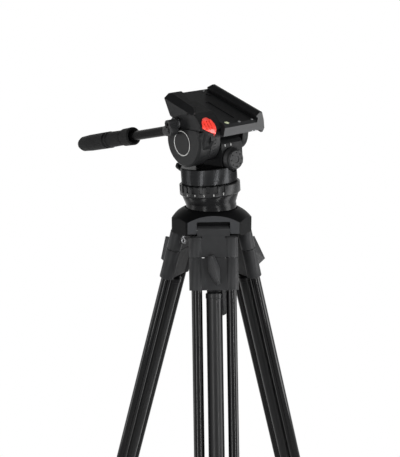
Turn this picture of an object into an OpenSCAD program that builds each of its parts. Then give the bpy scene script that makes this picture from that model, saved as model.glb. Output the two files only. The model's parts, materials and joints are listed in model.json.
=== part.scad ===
// Video tripod with a fluid head, standing on the floor with its legs pushed in.
// The origin is on the floor under the middle of the bowl, +Z is up and the front leg points to -Y.

/* [Stand] */
// Radius of the ball seat in the crown
bowl_r = 37.5; // [36:0.5:38.5]
// Distance from the bowl's axis to the flat face of each hinge lobe
lobe_face = 46.5; // [46:0.5:49]
// Width of each hinge lobe
lobe_w = 77; // [76:1:82]
// Distance from the bowl's axis to each hinge axis
hinge_r = 39.5; // [39:0.5:41]
// Height of the hinge axis above the bottom of the bowl
hinge_up = 11; // [7.5:0.5:11.5]
// Radius of the hinge pins
pin_r = 3.5; // [2.5:0.5:4]
// Width of the leg's hinge tongue
tongue_w = 47; // [40:1:50]
// Radius of the leg's hinge tongue round its pin
tongue_r = 7.5; // [6.5:0.25:7.5]

/* [Legs] */
// Angle of each leg from the vertical
leg_splay = 15.3; // [8:0.1:20]
// Distance along the leg from the hinge axis to the centre of the foot
foot_u = 690; // [680:5:800]
// Distance from the leg's centre line to each outer tube's axis
tube_x = 24.75; // [24.5:0.25:28]
// Outer radius of the outer tubes
tube_r = 7.75; // [6:0.25:8.5]
// Outer radius of the middle tube
mid_r = 11.6; // [10.5:0.1:12.5]
// Outer radius of the bottom tube
low_r = 9.3; // [7:0.1:9.4]
// Wall of all leg tubes
tube_wall = 1.6; // [1:0.1:1.8]
// Radius of the side columns of the leg blocks
column_r = 10.75; // [10:0.25:11]
// Thickness of the plate between the side columns
plate_t = 17; // [15:0.5:18]
// Distance along the leg from the hinge axis to the joint between the two top blocks
split_u = 39; // [34:1:44]
// Distance along the leg from the hinge axis to the bottom of the clamp block
block_u = 86; // [80:1:100]
// Distance along the leg from the hinge axis to the top of the lower yoke
yoke_u = 575; // [540:5:580]
// Height of the lower yoke
yoke_h = 48; // [40:1:50]
// Radius of the rubber foot
foot_r = 14; // [13:0.5:18]

/* [Head base] */
// Lean of the head in its bowl, towards -X
head_lean = 4; // [0:0.5:8]
// Turn of the head about its own axis
pan_angle = 36; // [0:1:90]
// Radius of the pan housing
housing_r = 41; // [40.5:0.5:43]
// Radius of the pan drag ring over its grip ribs
drag_r = 44.5; // [44:0.5:47]
// Height of the drag ring's lower face above the bowl's rim
drag_z = 21; // [20:0.5:22]
// Height of the drag ring
drag_h = 16.5; // [14:0.5:16.5]
// Number of grip ribs on the drag ring
drag_ribs = 14; // [8:1:16]

/* [Tilt] */
// Height of the tilt axis above the bowl's rim
tilt_h = 103; // [102:0.5:106]
// Forward tilt of the platform
pitch = 20; // [-30:1:40]
// Width of the support that carries the tilt axle
support_w = 39; // [36:1:39]
// Radius of the tilt axle
axle_r = 6; // [4:0.5:8]
// Radius of the round side cover
cover_r = 37.5; // [36:0.5:38]
// Radius of the curved front of the tilt housing
drum_r = 47; // [46:0.5:49]
// Distance from the pan axis to the outer face of the side cover
side_x = 44; // [43.5:0.5:47]
// Radius of the counterbalance knob
knob_r = 15; // [12:0.5:15.5]

/* [Platform] */
// Height of the platform's bed above the tilt axis
bed_z = 37; // [36.5:0.5:40]
// Length of the platform
bed_len = 119; // [100:1:130]
// Distance from the tilt axis to the platform's front face
bed_front = 42; // [41:1:44]
// Height of the right rail above the bed
rail_h = 11.5; // [8:0.5:14]
// Thickness of the bed plate
bed_t = 5; // [4:0.5:6]

/* [Pan bar] */
// Slope of the pan bar against the platform
bar_slope = 29; // [10:1:40]
// Radius of the pan bar
bar_r = 7; // [5:0.25:8]
// Distance along the bar from its clamp screw to the grip's end
bar_reach = 244; // [220:1:300]
// Radius of the grip
grip_r = 12.5; // [11:0.5:13]
// Length of the grip
grip_len = 149; // [120:1:160]

/* [Hidden] */
$fn = 64;
slide_gap = 0.05;     // radial clearance of shafts and sliding tubes
face_gap = 0.3;       // gap between faces of pieces that move past each other
screw_r = 3;          // radius of the clamp screws and the levers' pins
eps = 1;              // length by which a cutter runs past a face

leg_names = ["front", "right", "left"];

// Stand
bowl_wall = 4;
hood_r = 88;                                   // sphere that rounds the top of the crown
mouth_r = bowl_r + 1.3;                        // bowl's mouth at the rim
hood_z = -sqrt(pow(hood_r, 2) - pow(mouth_r, 2));
hinge_drop = bowl_r - hinge_up;                // hinge axis below the rim
crown_bottom = -hinge_drop - tongue_r - 0.5;
drain_r = 0.4 * bowl_r;                        // opening in the bottom of the bowl
corner_r = sqrt(pow(lobe_face, 2) + pow(lobe_w / 2, 2)) - 1;
short_face = lobe_w / 2 * cos(30) + lobe_face / 2;     // distance of the short sides from the axis
sole = 1;                                      // depth of the flat on each foot
hinge_z = foot_u * cos(leg_splay) + foot_r - sole;
rim_z = hinge_z + hinge_drop;

// Ball and clamp
ball_r = bowl_r - face_gap;
ball_cut = ball_r - 3.2;                       // half ball's flat underside
stud_r = 5;
washer_in = bowl_r + bowl_wall + face_gap;
washer_t = 3.2;
washer_gap = 0.13;                             // between the washer's edge and the crown
washer_r = sqrt(pow(washer_in, 2) - pow(crown_bottom - washer_gap, 2));
dish_in = washer_in + washer_t + face_gap;
handle_r = 15.5;
handle_top = 64;
handle_end = 166;
stud_end = 96;
hub_r = 24;
spindle_r = 10;

// Head
housing_z = drag_z + drag_h + face_gap;
housing_top = tilt_h - cover_r - 3.5;
spindle_top = housing_top - 10;
pan_brake_z = drag_z + drag_h + 10.5;
support_front = 32;
support_top = 23.4;
hub_x = 19.8;                                  // drum boss on the support's side
drum_hub_r = 22;
ring_r = 33.5;
ring_x0 = -19.4;
ring_x1 = -1.5;
cover_x = -24;
face_x = 2 - side_x;                           // side face of the tilt housing
rim_x = -7;                                    // inner end of the tilt housing
top_z = bed_z + 9;                             // top of the tilt housing
part_z = 22;                                   // joint between housing and cover, at part_y
part_y = -10;
part_slope = 18;
arm_x = support_w + 8.5;
arm_t = 13;
arm_r = 25.5;
arm_top = bed_z - 15.2;                        // top of the arm, under the rail
knob_x = 17;
knob_z = tilt_h - 32;
knob_front = -43.5;
knob_skirt = 2;                                // how far the knob's skirt stands out
rosette_y = 19;
rosette_z = 20;
rosette_t = 2.6;
rosette_r = 8.5;
clamp_x0 = -side_x - rosette_t - face_gap;
clamp_t = 14;
clamp_out = clamp_x0 - clamp_t;                // outer face of the clamp
barrel_r = bar_r + 1;                          // clamp's barrel round the bar's end
bar_x = clamp_x0 - barrel_r;
sunk_r = 4.2;                                  // head of the clamp screw
sink = 4;
bar_drop = 8;                                  // bar's axis below its clamp screw
bar_start = 4;                                 // inner end of the bar, from its clamp screw
badge_r = 18.2;
badge_y = 0.5;
badge_z = -3.3;
lever_pivot = [4 - side_x, -6];
lever_out = -side_x - 4;                       // outer face of the plate lock lever
lever_rear = 50;                               // plate lock lever's rear end, nose and width
lever_nose = -16;
lever_wide = 26;
button_mid = 40;                               // button's middle, forward from the top
button_stroke = 2.5;
spring_x = -29;
spring_z = drum_r - 8.9;                       // floor under the button's spring
bed_left = rim_x + 0.2;
bed_right = 54;
bed_rear = bed_len - bed_front;
bar_t = 8;                                     // thickness of the front bar
rail_x = bed_right + 17;
rail_top = bed_z + rail_h;
under_z = bed_z - 13;                          // underside of the platform's ribs
bubble_r = 3.6;
bubble_at = [bed_left + 9, -bed_front + 8, bed_z];
front_low = bed_z - 17;                        // underside of the front bar

// Legs
lever_l = 35;
lever_w = 17;
lever_t = 19;
lever_x = -3.5;                                // lever's pivot beside the leg's middle
lever_turns = [-13, 25, 5];                    // turn of each leg's levers
lever_u = split_u + 5;
lever_drop = 10;                               // lever's pivot below the top of the lower yoke
yoke_wall = 4.5;
mid_top = block_u + 2.5;
mid_end = 640;
collar_u = yoke_u + yoke_h + 4;
collar_h = 36;
collar_r = 16;
low_top = 130;
low_end = foot_u - 8;
boot_u = collar_u + collar_h + 3;

// ---- Placing ----

module at_rim() {
    translate([0, 0, rim_z]) children();
}

module in_head() {
    at_rim() rotate([0, -head_lean, 0]) children();
}

module in_pan() {
    in_head() rotate([0, 0, pan_angle]) children();
}

module in_tilt() {
    in_pan() translate([0, 0, tilt_h]) rotate([pitch, 0, 0]) children();
}

// Frame of the pan bar's clamp: screw axis along X, the bar runs towards +Y
module in_bar() {
    in_tilt() translate([0, rosette_y, rosette_z]) rotate([-bar_slope, 0, 0]) children();
}

// Frame of one leg: origin on its hinge axis, the leg runs towards -Z and -Y is outward
module in_leg(k) {
    at_rim() rotate([0, 0, 120 * k]) translate([0, -hinge_r, -hinge_drop])
        rotate([-leg_splay, 0, 0]) children();
}

// ---- Common shapes ----

module rod_x(x0, x1, r) {
    translate([x0, 0, 0]) rotate([0, 90, 0]) cylinder(r = r, h = x1 - x0);
}

module rod_y(y0, y1, r) {
    translate([0, y1, 0]) rotate([90, 0, 0]) cylinder(r = r, h = y1 - y0);
}

module cone_x(x0, x1, r0, r1) {
    translate([x0, 0, 0]) rotate([0, 90, 0]) cylinder(r1 = r0, r2 = r1, h = x1 - x0);
}

// Side outline in Y and Z, extruded along X
module side_extrude(x0, x1) {
    translate([x0, 0, 0]) rotate([90, 0, 90]) linear_extrude(x1 - x0) children();
}

// Front outline in X and Z, extruded along Y
module front_extrude(y0, y1) {
    translate([0, y1, 0]) rotate([90, 0, 0]) linear_extrude(y1 - y0) children();
}

module tube(u0, u1, r, wall) {
    difference() {
        translate([0, 0, -u1]) cylinder(r = r, h = u1 - u0);
        translate([0, 0, -u1 - eps]) cylinder(r = r - wall, h = u1 - u0 + 2 * eps);
    }
}

// Arc points in Y and Z round the tilt axis, from angle a0 to a1 forward of the top
function arc(r, a0, a1, n = 12) =
    [for (i = [0 : n]) let (a = a0 + (a1 - a0) * i / n) [-r * sin(a), r * cos(a)]];

// ---- Crown and levelling ----

// Six-sided plan of the crown: three lobe faces joined by three short sides
module crown_plan(face, half_w, h) {
    linear_extrude(h) polygon([for (k = [0 : 2]) for (s = [-1, 1])
        let (a = 120 * k, p = [s * half_w, -face])
        [p[0] * cos(a) - p[1] * sin(a), p[0] * sin(a) + p[1] * cos(a)]]);
}

module crown_shell() {
    intersection() {
        translate([0, 0, crown_bottom]) crown_plan(lobe_face, lobe_w / 2, -crown_bottom);
        translate([0, 0, crown_bottom]) cylinder(r = corner_r, h = -crown_bottom);
        translate([0, 0, hood_z]) sphere(r = hood_r, $fn = 128);
    }
}

// Casting pockets behind the short sides, open at the bottom, with a rib between each two
module crown_pockets() {
    wall = 4.5;
    rib = 9;
    pocket_in = bowl_r + bowl_wall + 1;
    pocket_w = 11;
    for (k = [0 : 2]) for (s = [-1, 1]) rotate([0, 0, 120 * k - 30])
        translate([pocket_in, s * (rib + pocket_w) / 2 - pocket_w / 2, crown_bottom - eps])
            cube([short_face - wall - pocket_in, pocket_w, 18]);
}

module hinge_slot() {
    slot_w = tongue_w + 1;
    slot_top = tongue_r + 4.5;
    translate([0, -hinge_r, -hinge_drop]) {
        rotate([0, 90, 0]) cylinder(r = tongue_r + 0.5, h = slot_w, center = true);
        translate([-slot_w / 2, -lobe_face, 0]) cube([slot_w, lobe_face, slot_top]);
        translate([-slot_w / 2, -lobe_face, crown_bottom])
            cube([slot_w, lobe_face + tongue_r + 0.5, -crown_bottom]);
        rotate([0, 90, 0]) cylinder(r = pin_r, h = lobe_w - 4, center = true);
    }
}

// Rounds the lower front edge of a lobe about its pin, so that the leg can swing up
module lobe_nose() {
    nose_r = tongue_r + 0.5;
    translate([0, -hinge_r, -hinge_drop]) difference() {
        translate([-lobe_w, -lobe_face, -lobe_face]) cube([2 * lobe_w, lobe_face, lobe_face]);
        rotate([0, 90, 0]) cylinder(r = nose_r, h = 3 * lobe_w, center = true);
    }
}

module crown() {
    color("#2c2d2f") at_rim() difference() {
        crown_shell();
        sphere(r = bowl_r, $fn = 96);
        translate([0, 0, -3]) cylinder(r1 = mouth_r - 1.45, r2 = mouth_r, h = 3);
        translate([0, 0, -bowl_r - eps]) cylinder(r = drain_r, h = bowl_r);
        crown_pockets();
        for (k = [0 : 2]) rotate([0, 0, 120 * k]) {
            hinge_slot();
            lobe_nose();
        }
    }
}

module hinge_pins() {
    color("#8d9094") at_rim() for (k = [0 : 2])
        rotate([0, 0, 120 * k]) translate([0, -hinge_r, -hinge_drop])
            rotate([0, 90, 0]) cylinder(r = pin_r - slide_gap, h = lobe_w - 4.2, center = true);
}

// Eye bolt for a carrying strap, under the crown between two legs
module strap_eye() {
    eye_r = 4;
    wire = 1.4;
    color("#4a4b4d") at_rim() rotate([0, 0, -150]) translate([short_face - 8.5, 0, crown_bottom]) {
        translate([0, 0, -6]) cylinder(r = 2, h = 6);
        translate([0, 0, -6 - eye_r]) rotate([0, 90, 0]) rotate_extrude()
            translate([eye_r, 0]) circle(r = wire, $fn = 24);
    }
}

// Shell between two spheres about the bowl's centre, below the bowl
module dish(r_in, r_out, hole, edge) {
    rotate_extrude($fn = 96) intersection() {
        difference() {
            circle(r = r_out, $fn = 128);
            circle(r = r_in, $fn = 128);
        }
        translate([hole, -r_out - eps]) square([edge - hole, r_out]);
    }
}

module levelling_washer() {
    color("#77797c") at_rim() dish(washer_in, washer_in + washer_t, drain_r, washer_r);
}

module half_ball() {
    flare_r = housing_r;
    neck_z = 6;
    color("#1d1e20") in_head() difference() {
        union() {
            intersection() {
                sphere(r = ball_r, $fn = 96);
                translate([0, 0, neck_z]) mirror([0, 0, 1]) cylinder(r = ball_r + eps, h = ball_cut + neck_z);
            }
            translate([0, 0, neck_z])
                cylinder(r1 = sqrt(pow(ball_r, 2) - pow(neck_z, 2)), r2 = flare_r, h = drag_z - 2.5 - neck_z);
            translate([0, 0, drag_z - 2.5]) cylinder(r = flare_r, h = 2.5 - face_gap);
        }
        translate([0, 0, -ball_cut - eps]) cylinder(r = stud_r + slide_gap, h = ball_cut + eps + 6);
        translate([0, 0, -ball_cut - eps]) cylinder(r1 = 14, r2 = 9, h = 8);
        translate([0, 0, 10]) cylinder(r = hub_r - 6, h = drag_z);
    }
}

module clamp_stud() {
    color("#9a9da1") in_head() translate([0, 0, -stud_end]) cylinder(r = stud_r, h = stud_end + 5);
}

module tie_down_handle() {
    flutes = 10;
    dish_r = 16;
    dish_z = -sqrt(pow(dish_in, 2) - pow(dish_r, 2));
    shoulder = 7;
    color("#232425") in_head() difference() {
        union() {
            difference() {
                translate([0, 0, -dish_in - 6]) cylinder(r = dish_r, h = dish_in + 6 + dish_z);
                sphere(r = dish_in, $fn = 96);
            }
            translate([0, 0, -handle_top]) cylinder(r1 = 11, r2 = dish_r, h = handle_top - dish_in - 6);
            translate([0, 0, -handle_top - shoulder]) cylinder(r1 = handle_r, r2 = 11, h = shoulder);
            translate([0, 0, -handle_end + 5])
                cylinder(r = handle_r, h = handle_end - handle_top - shoulder - 5);
            translate([0, 0, -handle_end]) cylinder(r1 = handle_r - 4, r2 = handle_r, h = 5);
        }
        translate([0, 0, -stud_end - 3]) cylinder(r = stud_r + slide_gap, h = stud_end);
        for (i = [0 : flutes - 1]) rotate([0, 0, 360 * i / flutes])
            translate([handle_r + 1.2, 0, -handle_end + 10]) cylinder(r = 2.4, h = 76, $fn = 24);
    }
}

// ---- Pan ----

module pan_spindle() {
    color("#8d9094") in_head() {
        translate([0, 0, 10.2]) cylinder(r = hub_r - 6.1, h = drag_z - 10.2);
        translate([0, 0, drag_z - face_gap]) cylinder(r = hub_r, h = drag_h);
        translate([0, 0, drag_z]) cylinder(r = spindle_r, h = spindle_top - drag_z);
    }
}

module pan_drag_ring() {
    groove_r = drag_r - 1.6;
    chamfer = 1.6;
    band = 7;                                  // plain band for the dial numbers, below the ribs
    rib_step = 200 / drag_ribs;
    color("#303133") in_pan() translate([0, 0, drag_z]) difference() {
        union() {
            cylinder(r1 = drag_r - chamfer, r2 = drag_r, h = chamfer);
            translate([0, 0, chamfer]) cylinder(r = drag_r, h = drag_h - chamfer - 1);
            translate([0, 0, drag_h - 1]) cylinder(r1 = drag_r, r2 = drag_r - 1, h = 1);
        }
        translate([0, 0, -eps]) cylinder(r = hub_r + slide_gap, h = drag_h + 2 * eps);
        for (i = [0 : drag_ribs - 1]) rotate([0, 0, 70 + i * rib_step])
            translate([groove_r, -rib_step * drag_r / 260, band])
                cube([5, rib_step * drag_r / 130, drag_h]);
    }
}

module pan_housing() {
    edge = 1.2;
    color("#5b5d60") in_pan() difference() {
        union() {
            translate([0, 0, housing_z]) cylinder(r = housing_r, h = housing_top - housing_z - edge);
            translate([0, 0, housing_top - edge]) cylinder(r1 = housing_r, r2 = housing_r - edge, h = edge);
        }
        translate([0, 0, housing_z - eps])
            cylinder(r = spindle_r + slide_gap, h = spindle_top + face_gap - housing_z + eps);
        translate([knob_x, 0, knob_z]) rod_y(-60, -support_front + 0.6, knob_r + knob_skirt + 1.4);
        pan_brake_place() rod_x(-12, eps, screw_r + slide_gap);
    }
}

// Side outline of the support in Y and Z, relative to the tilt axis
module support_outline() {
    foot_z = housing_top - tilt_h;
    rear = support_front - 2;
    circle(r = support_top);
    polygon([[-support_front, foot_z], [-support_front, -9], [-support_front + 3, -4],
        [-support_top, 0], [support_top, 0], [rear - 2, -6], [rear, -12], [rear, foot_z]]);
}

module tilt_support() {
    color("#333436") in_pan() difference() {
        translate([0, 0, tilt_h]) {
            side_extrude(0, support_w) support_outline();
            rod_x(-hub_x, eps, drum_hub_r);
        }
        translate([0, 0, tilt_h]) rod_x(-hub_x - eps, support_w + eps, axle_r);
        translate([knob_x, 0, knob_z]) rod_y(-support_front - eps, -support_front + 12, screw_r + slide_gap);
        translate([knob_x, 0, knob_z])
            rod_y(-support_front - eps, -support_front + 0.6, knob_r + knob_skirt + 1.4);
        translate([support_w - 5, -8, housing_top + 6]) cube([6, 22, 14]);
        tilt_brake_place() rod_y(-10, eps, screw_r + slide_gap);
    }
}

module counterbalance_knob() {
    back = -support_front + 0.3;
    neck = 2.4;
    skirt_h = 4.5;
    body_r = knob_r - 1;
    dimples = 8;
    color("#77797b") in_pan() translate([knob_x, 0, knob_z]) difference() {
        union() {
            rod_y(back - neck, back + 11, screw_r);
            rod_y(back - neck, back, knob_r - 3);
            translate([0, back - neck, 0]) rotate([90, 0, 0])
                cylinder(r1 = knob_r + knob_skirt, r2 = body_r, h = skirt_h);
            rod_y(knob_front + 1.5, back - neck - skirt_h + 0.1, body_r);
            translate([0, knob_front + 1.5, 0]) rotate([90, 0, 0])
                cylinder(r1 = body_r, r2 = body_r - 1.5, h = 1.5);
        }
        for (i = [0 : dimples - 1]) rotate([0, 360 * i / dimples, 0])
            translate([body_r - 4.2, 0, 0]) rod_y(knob_front - eps, knob_front + 1, 1.2);
        rod_y(knob_front - eps, knob_front + 0.8, 5);
    }
}

module tilt_axle() {
    color("#9a9da1") in_pan() translate([0, 0, tilt_h])
        rod_x(-side_x + 4, arm_x + arm_t - 3, axle_r - slide_gap / 2);
}

module tilt_drag_ring() {
    ribs = 40;
    color("#6c6e70") in_pan() translate([0, 0, tilt_h]) difference() {
        union() {
            cone_x(ring_x0, ring_x0 + 1, ring_r - 1, ring_r);
            rod_x(ring_x0 + 1, ring_x1 - 1, ring_r);
            cone_x(ring_x1 - 1, ring_x1, ring_r, ring_r - 1);
        }
        rod_x(ring_x0 - eps, ring_x1 + eps, drum_hub_r + slide_gap);
        for (i = [0 : ribs - 1]) rotate([360 * i / ribs, 0, 0])
            translate([ring_x0 + 3, -0.9, ring_r - 0.8]) cube([5, 1.8, 2]);
    }
}

// ---- Tilt housing and side cover ----

// Everything above the joint between the tilt housing and the side cover
module above_part(gap) {
    translate([0, part_y, part_z + gap]) rotate([-part_slope, 0, 0])
        translate([-100, -100, 0]) cube([200, 200, 100]);
}

module housing_outline() {
    rear = 33;
    low = -5;
    polygon(concat([[rear, low], [rear, top_z - 4], [rear - 4, top_z]],
        arc(drum_r, acos(min(1, top_z / drum_r)), 75), [[-20, low]]));
}

// Plan of the side face and its rounded front corner
module rounded_corner(inner_x) {
    corner = 12;
    fore = -28;
    low = -50;
    translate([face_x, fore, low]) cube([inner_x - face_x, 80, 120]);
    translate([face_x + corner, fore - 40, low]) cube([inner_x - face_x - corner, 40 + eps, 120]);
    translate([face_x + corner, fore, low]) cylinder(r = corner, h = 120);
}

module tilt_housing() {
    color("#3a3b3d") in_tilt() difference() {
        union() {
            intersection() {
                union() {
                    intersection() {
                        side_extrude(face_x, rim_x) housing_outline();
                        rounded_corner(rim_x);
                    }
                    translate([0, rosette_y, rosette_z]) rod_x(-side_x, face_x + eps, rosette_r);
                }
                above_part(0);
            }
            translate([lever_pivot[0], lever_pivot[1], top_z - 3]) cylinder(r = screw_r, h = 9);
        }
        rod_x(ring_x0 - 0.8, rim_x + eps, ring_r + 0.6);
        rod_x(cover_x - eps, ring_x0, drum_hub_r + 8);
        rod_x(-side_x, rim_x, axle_r + slide_gap);
        button_block(0.4, drum_r - 9, drum_r + 5);
        rosette_cut();
    }
}

module rosette_cut() {
    translate([0, rosette_y, rosette_z]) rod_x(-side_x - eps, -side_x + 14, screw_r + slide_gap);
}

// Shoulder that carries the drum's curve down from the housing to the round cover
module cover_shoulder() {
    polygon(concat([[0, 0]], arc(drum_r, 50, 68, 4), [[-cover_r, 2]]));
}

module side_cover() {
    bevel = 3;
    color("#3f4042") in_tilt() difference() {
        union() {
            cone_x(-side_x, -side_x + bevel, cover_r - bevel, cover_r);
            rod_x(-side_x + bevel, cover_x, cover_r);
            rod_x(cover_x, -hub_x - face_gap, drum_hub_r + 7);
            intersection() {
                side_extrude(face_x, cover_x) cover_shoulder();
                rounded_corner(cover_x);
            }
        }
        above_part(-0.1);
        button_block(0.4, drum_r - 9, drum_r + 5);
        rod_x(-side_x + 3, 0, axle_r + slide_gap);
        translate([0, badge_y, badge_z]) rod_x(-side_x - eps, -side_x + 1, badge_r);
        rosette_cut();
    }
}

// Bare badge disc with a raised rim, in the cover's recess
module badge_ring() {
    rim = 1.2;
    color("#56585a") in_tilt() translate([0, badge_y, badge_z]) difference() {
        rod_x(-side_x - 0.5, -side_x + 0.95, badge_r - 0.1);
        rod_x(-side_x - eps, -side_x - 0.1, badge_r - rim);
        translate([0, -badge_y, -badge_z]) above_part(-0.1);
    }
}

// ---- Platform ----

// Front outline of the right rail in X and Z, undercut along the bed
module rail_outline() {
    inner = bed_right - 2;
    lip = bed_right - 3.5;
    polygon([[inner, under_z], [inner, bed_z], [bed_right, bed_z], [bed_right, rail_top - 8],
        [lip, rail_top - 6.5], [lip, rail_top - 5], [bed_right + 1.5, rail_top],
        [bed_right + 6, rail_top], [rail_x - 4.5, bed_z - 1.5], [rail_x, front_low + 2],
        [rail_x - 2, front_low - 4], [rail_x - 6, front_low - 4], [rail_x - 8.5, under_z - 2]]);
}

module platform() {
    rib_t = 4;
    edge = 4;                                  // chamfer along the front edge of the bed
    color("#4b4c4e") in_tilt() difference() {
        union() {
            translate([bed_left, -bed_front, bed_z - bed_t]) cube([bed_right - bed_left, bed_len, bed_t]);
            translate([bed_left, -bed_front, front_low])
                cube([rail_x - 7 - bed_left, bar_t, bed_z - front_low]);
            front_extrude(-bed_front, bed_rear) rail_outline();
            for (x = [bed_left + 15, bed_right - 26])
                translate([x, -bed_front + 2, under_z]) cube([rib_t, bed_len - 4, bed_z - under_z - 1]);
            translate([bed_left, bed_rear - rib_t, under_z])
                cube([bed_right - bed_left, rib_t, bed_z - under_z - 1]);
        }
        rod_x(bed_left - eps, 0.8, ring_r + 0.7);
        side_extrude(bed_left - eps, bed_right) polygon([[-bed_front - eps, bed_z - edge - eps],
            [-bed_front + edge + eps, bed_z + eps], [-bed_front - eps, bed_z + eps]]);
        side_extrude(bed_right - 5, rail_x + eps)
            polygon([[bed_rear + eps, bed_z], [bed_rear + eps, rail_top + eps],
            [bed_rear - rail_h, rail_top + eps], [bed_rear - eps, bed_z]]);
        translate([bed_right - 11, bed_rear - 19, bed_z - 2]) cylinder(r = 4, h = 4);
        translate(bubble_at - [0, 0, 3]) cylinder(r = bubble_r + 0.1, h = 5);
        translate([bed_left + 26, -bed_front + 18, bed_z - 1.2]) cube([6, 60, 3]);
        translate([bed_left + 2, -2, bed_z - 1.2]) cube([6, 12, 3]);
    }
}

module bubble_level() {
    color("#c8cf9a") in_tilt() translate(bubble_at - [0, 0, 2.9]) {
        cylinder(r = bubble_r, h = 2.9);
        translate([0, 0, 2.9]) cylinder(r1 = bubble_r - 0.8, r2 = bubble_r - 2, h = 0.6);
    }
}

module arm_outline() {
    circle(r = arm_r);
    polygon([[-arm_r, 0], [-arm_r + 2, arm_top], [arm_r - 2, arm_top], [arm_r, 0]]);
}

module right_arm() {
    edge = 2.5;
    web_z = bed_z - bed_t;
    web_x = bed_right - 2.2;
    color("#3a3b3d") in_tilt() difference() {
        union() {
            side_extrude(arm_x, arm_x + arm_t - edge) arm_outline();
            cone_x(arm_x + arm_t - edge, arm_x + arm_t, arm_r, arm_r - edge);
            translate([arm_x, -arm_r + 2, 0]) cube([web_x - arm_x, 2 * arm_r - 4, web_z]);
        }
        translate([web_x, -arm_r - eps, arm_top]) cube([arm_t, 2 * arm_r + 2 * eps, arm_r]);
        rod_x(arm_x - eps, arm_x + arm_t - 2.5, axle_r + slide_gap);
        translate([0, -12, -12]) rod_x(arm_x + 3, arm_x + arm_t + eps, screw_r);
    }
}

// Side outline of the plate lock lever in Y and Z, seen from the cover's side
module lever_side() {
    polygon([[lever_rear - 0.5, top_z + 1], [lever_rear - 1.5, top_z + 8], [lever_rear - 5, top_z + 10],
        [lever_nose + 10, top_z + 9], [lever_nose + 3, top_z + 7], [lever_nose, top_z + 4],
        [lever_nose + 1, top_z + 1.5], [lever_nose + 6, top_z + 0.5], [lever_rear - 38, top_z - 10],
        [lever_rear - 23, top_z - 19], [lever_rear - 19, top_z - 18.5]]);
}

// Plan of the lever in X and Y: it narrows towards its pivot
module lever_plan(out_x) {
    wide = out_x + lever_wide;
    polygon([[out_x, lever_rear], [wide, lever_rear], [wide, lever_rear - 8], [out_x + 12.5, 0],
        [out_x + 11, -9], [out_x + 6, lever_nose + 1], [out_x, lever_nose]]);
}

// Front outline of the lever in X and Z: its outer top edge is chamfered
module lever_front(out_x) {
    wide = out_x + lever_wide + eps;
    polygon([[out_x, 0], [out_x, top_z + 1], [out_x + 7.5, top_z + 10], [wide, top_z + 10], [wide, 0]]);
}

module plate_lock_lever() {
    out_x = lever_out;
    swing_y = -4;                              // the lever's skirt ends here, so that it can swing out
    color("#37383a") in_tilt() difference() {
        intersection() {
            side_extrude(out_x, out_x + lever_wide + eps) lever_side();
            linear_extrude(2 * top_z) lever_plan(out_x);
            front_extrude(lever_nose - eps, lever_rear + eps) lever_front(out_x);
        }
        translate([face_x - face_gap, lever_nose - eps, 0])
            cube([2 * lever_wide, lever_rear - lever_nose + 2 * eps, top_z + face_gap]);
        translate([out_x - eps, lever_nose - eps, 0])
            cube([2 * lever_wide, swing_y - lever_nose + eps, top_z + face_gap]);
        translate([lever_pivot[0], lever_pivot[1], 0]) cylinder(r = screw_r + slide_gap, h = top_z + 6.3);
    }
}

// Outline of the release button in X and along the drum, as seen square on, grown by a clearance
module button_outline(grow) {
    g = grow;
    polygon([[-33 - g, 11.2 + g], [-26, 12.4 + g], [-20 + g, 7.5 + g], [-17 + g, -0.8], [-17.5 + g, -7.5],
        [-21 + g, -14.4 - g], [-33, -8.8 - 1.2 * g], [-40.5 - g, -3.3 - g], [-38 - 1.2 * g, 5]]);
}

// Part of the drum's curved front that the release button fills
module button_block(grow, r_in, r_out) {
    intersection() {
        difference() {
            rod_x(-side_x, rim_x, r_out);
            rod_x(-side_x - eps, rim_x + eps, r_in);
        }
        rotate([button_mid, 0, 0]) linear_extrude(r_out + eps) button_outline(grow);
    }
}

module release_button() {
    ribs = 3;
    rib_step = 5;
    color("#d8352b") in_tilt() difference() {
        union() {
            button_block(0, drum_r - 5, drum_r + 0.6);
            rotate([button_mid, 0, 0]) translate([spring_x, 0, spring_z + 0.1 + button_stroke])
                cylinder(r = 2, h = 6);
        }
        rotate([button_mid, 0, 0]) for (i = [0 : ribs - 1])
            translate([spring_x - 6 + rib_step * i, -6, drum_r - 1.6]) cube([1.2, 13, 3]);
    }
}

module button_spring() {
    spring_r = 3.6;
    spring_h = 3.6;
    color("#a0a3a6") in_tilt() rotate([button_mid, 0, 0]) translate([spring_x, 0, spring_z])
        difference() {
            cylinder(r = spring_r, h = spring_h);
            translate([0, 0, -eps]) cylinder(r = spring_r - 1, h = spring_h + 2 * eps);
        }
}

// ---- Pan bar ----

module rosette() {
    teeth = 24;
    color("#6a6c6e") in_tilt() translate([0, rosette_y, rosette_z]) difference() {
        rod_x(-side_x - rosette_t, -side_x, rosette_r);
        rod_x(-side_x - 5, 0, screw_r + slide_gap);
        for (i = [0 : teeth - 1]) rotate([360 * i / teeth, 0, 0])
            translate([-side_x - rosette_t - eps, -0.6, 5.5]) cube([eps + 0.7, 1.2, 8]);
    }
}

// Post of the bar's clamp in Y and Z: a rounded top and a barrel's end round the bar
module clamp_outline() {
    top_r = 5.5;
    top = 1.2;
    translate([0, top]) circle(r = top_r);
    translate([-top_r, -bar_drop]) square([2 * top_r, bar_drop + top]);
    translate([0, -bar_drop]) circle(r = barrel_r);
}

module bar_clamp() {
    barrel_end = 11;
    color("#707274") in_bar() difference() {
        union() {
            side_extrude(clamp_out, lever_out - face_gap) clamp_outline();
            rod_x(lever_out - 1, clamp_x0, rosette_r);
            translate([bar_x, 0, -bar_drop]) rod_y(-2, barrel_end, barrel_r);
        }
        translate([bar_x, 0, -bar_drop]) rod_y(bar_start - face_gap, barrel_end + eps, bar_r + slide_gap);
        rod_x(clamp_out - eps, eps, screw_r + slide_gap);
        rod_x(clamp_out - eps, clamp_out + sink + face_gap, sunk_r + face_gap);
    }
}

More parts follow.
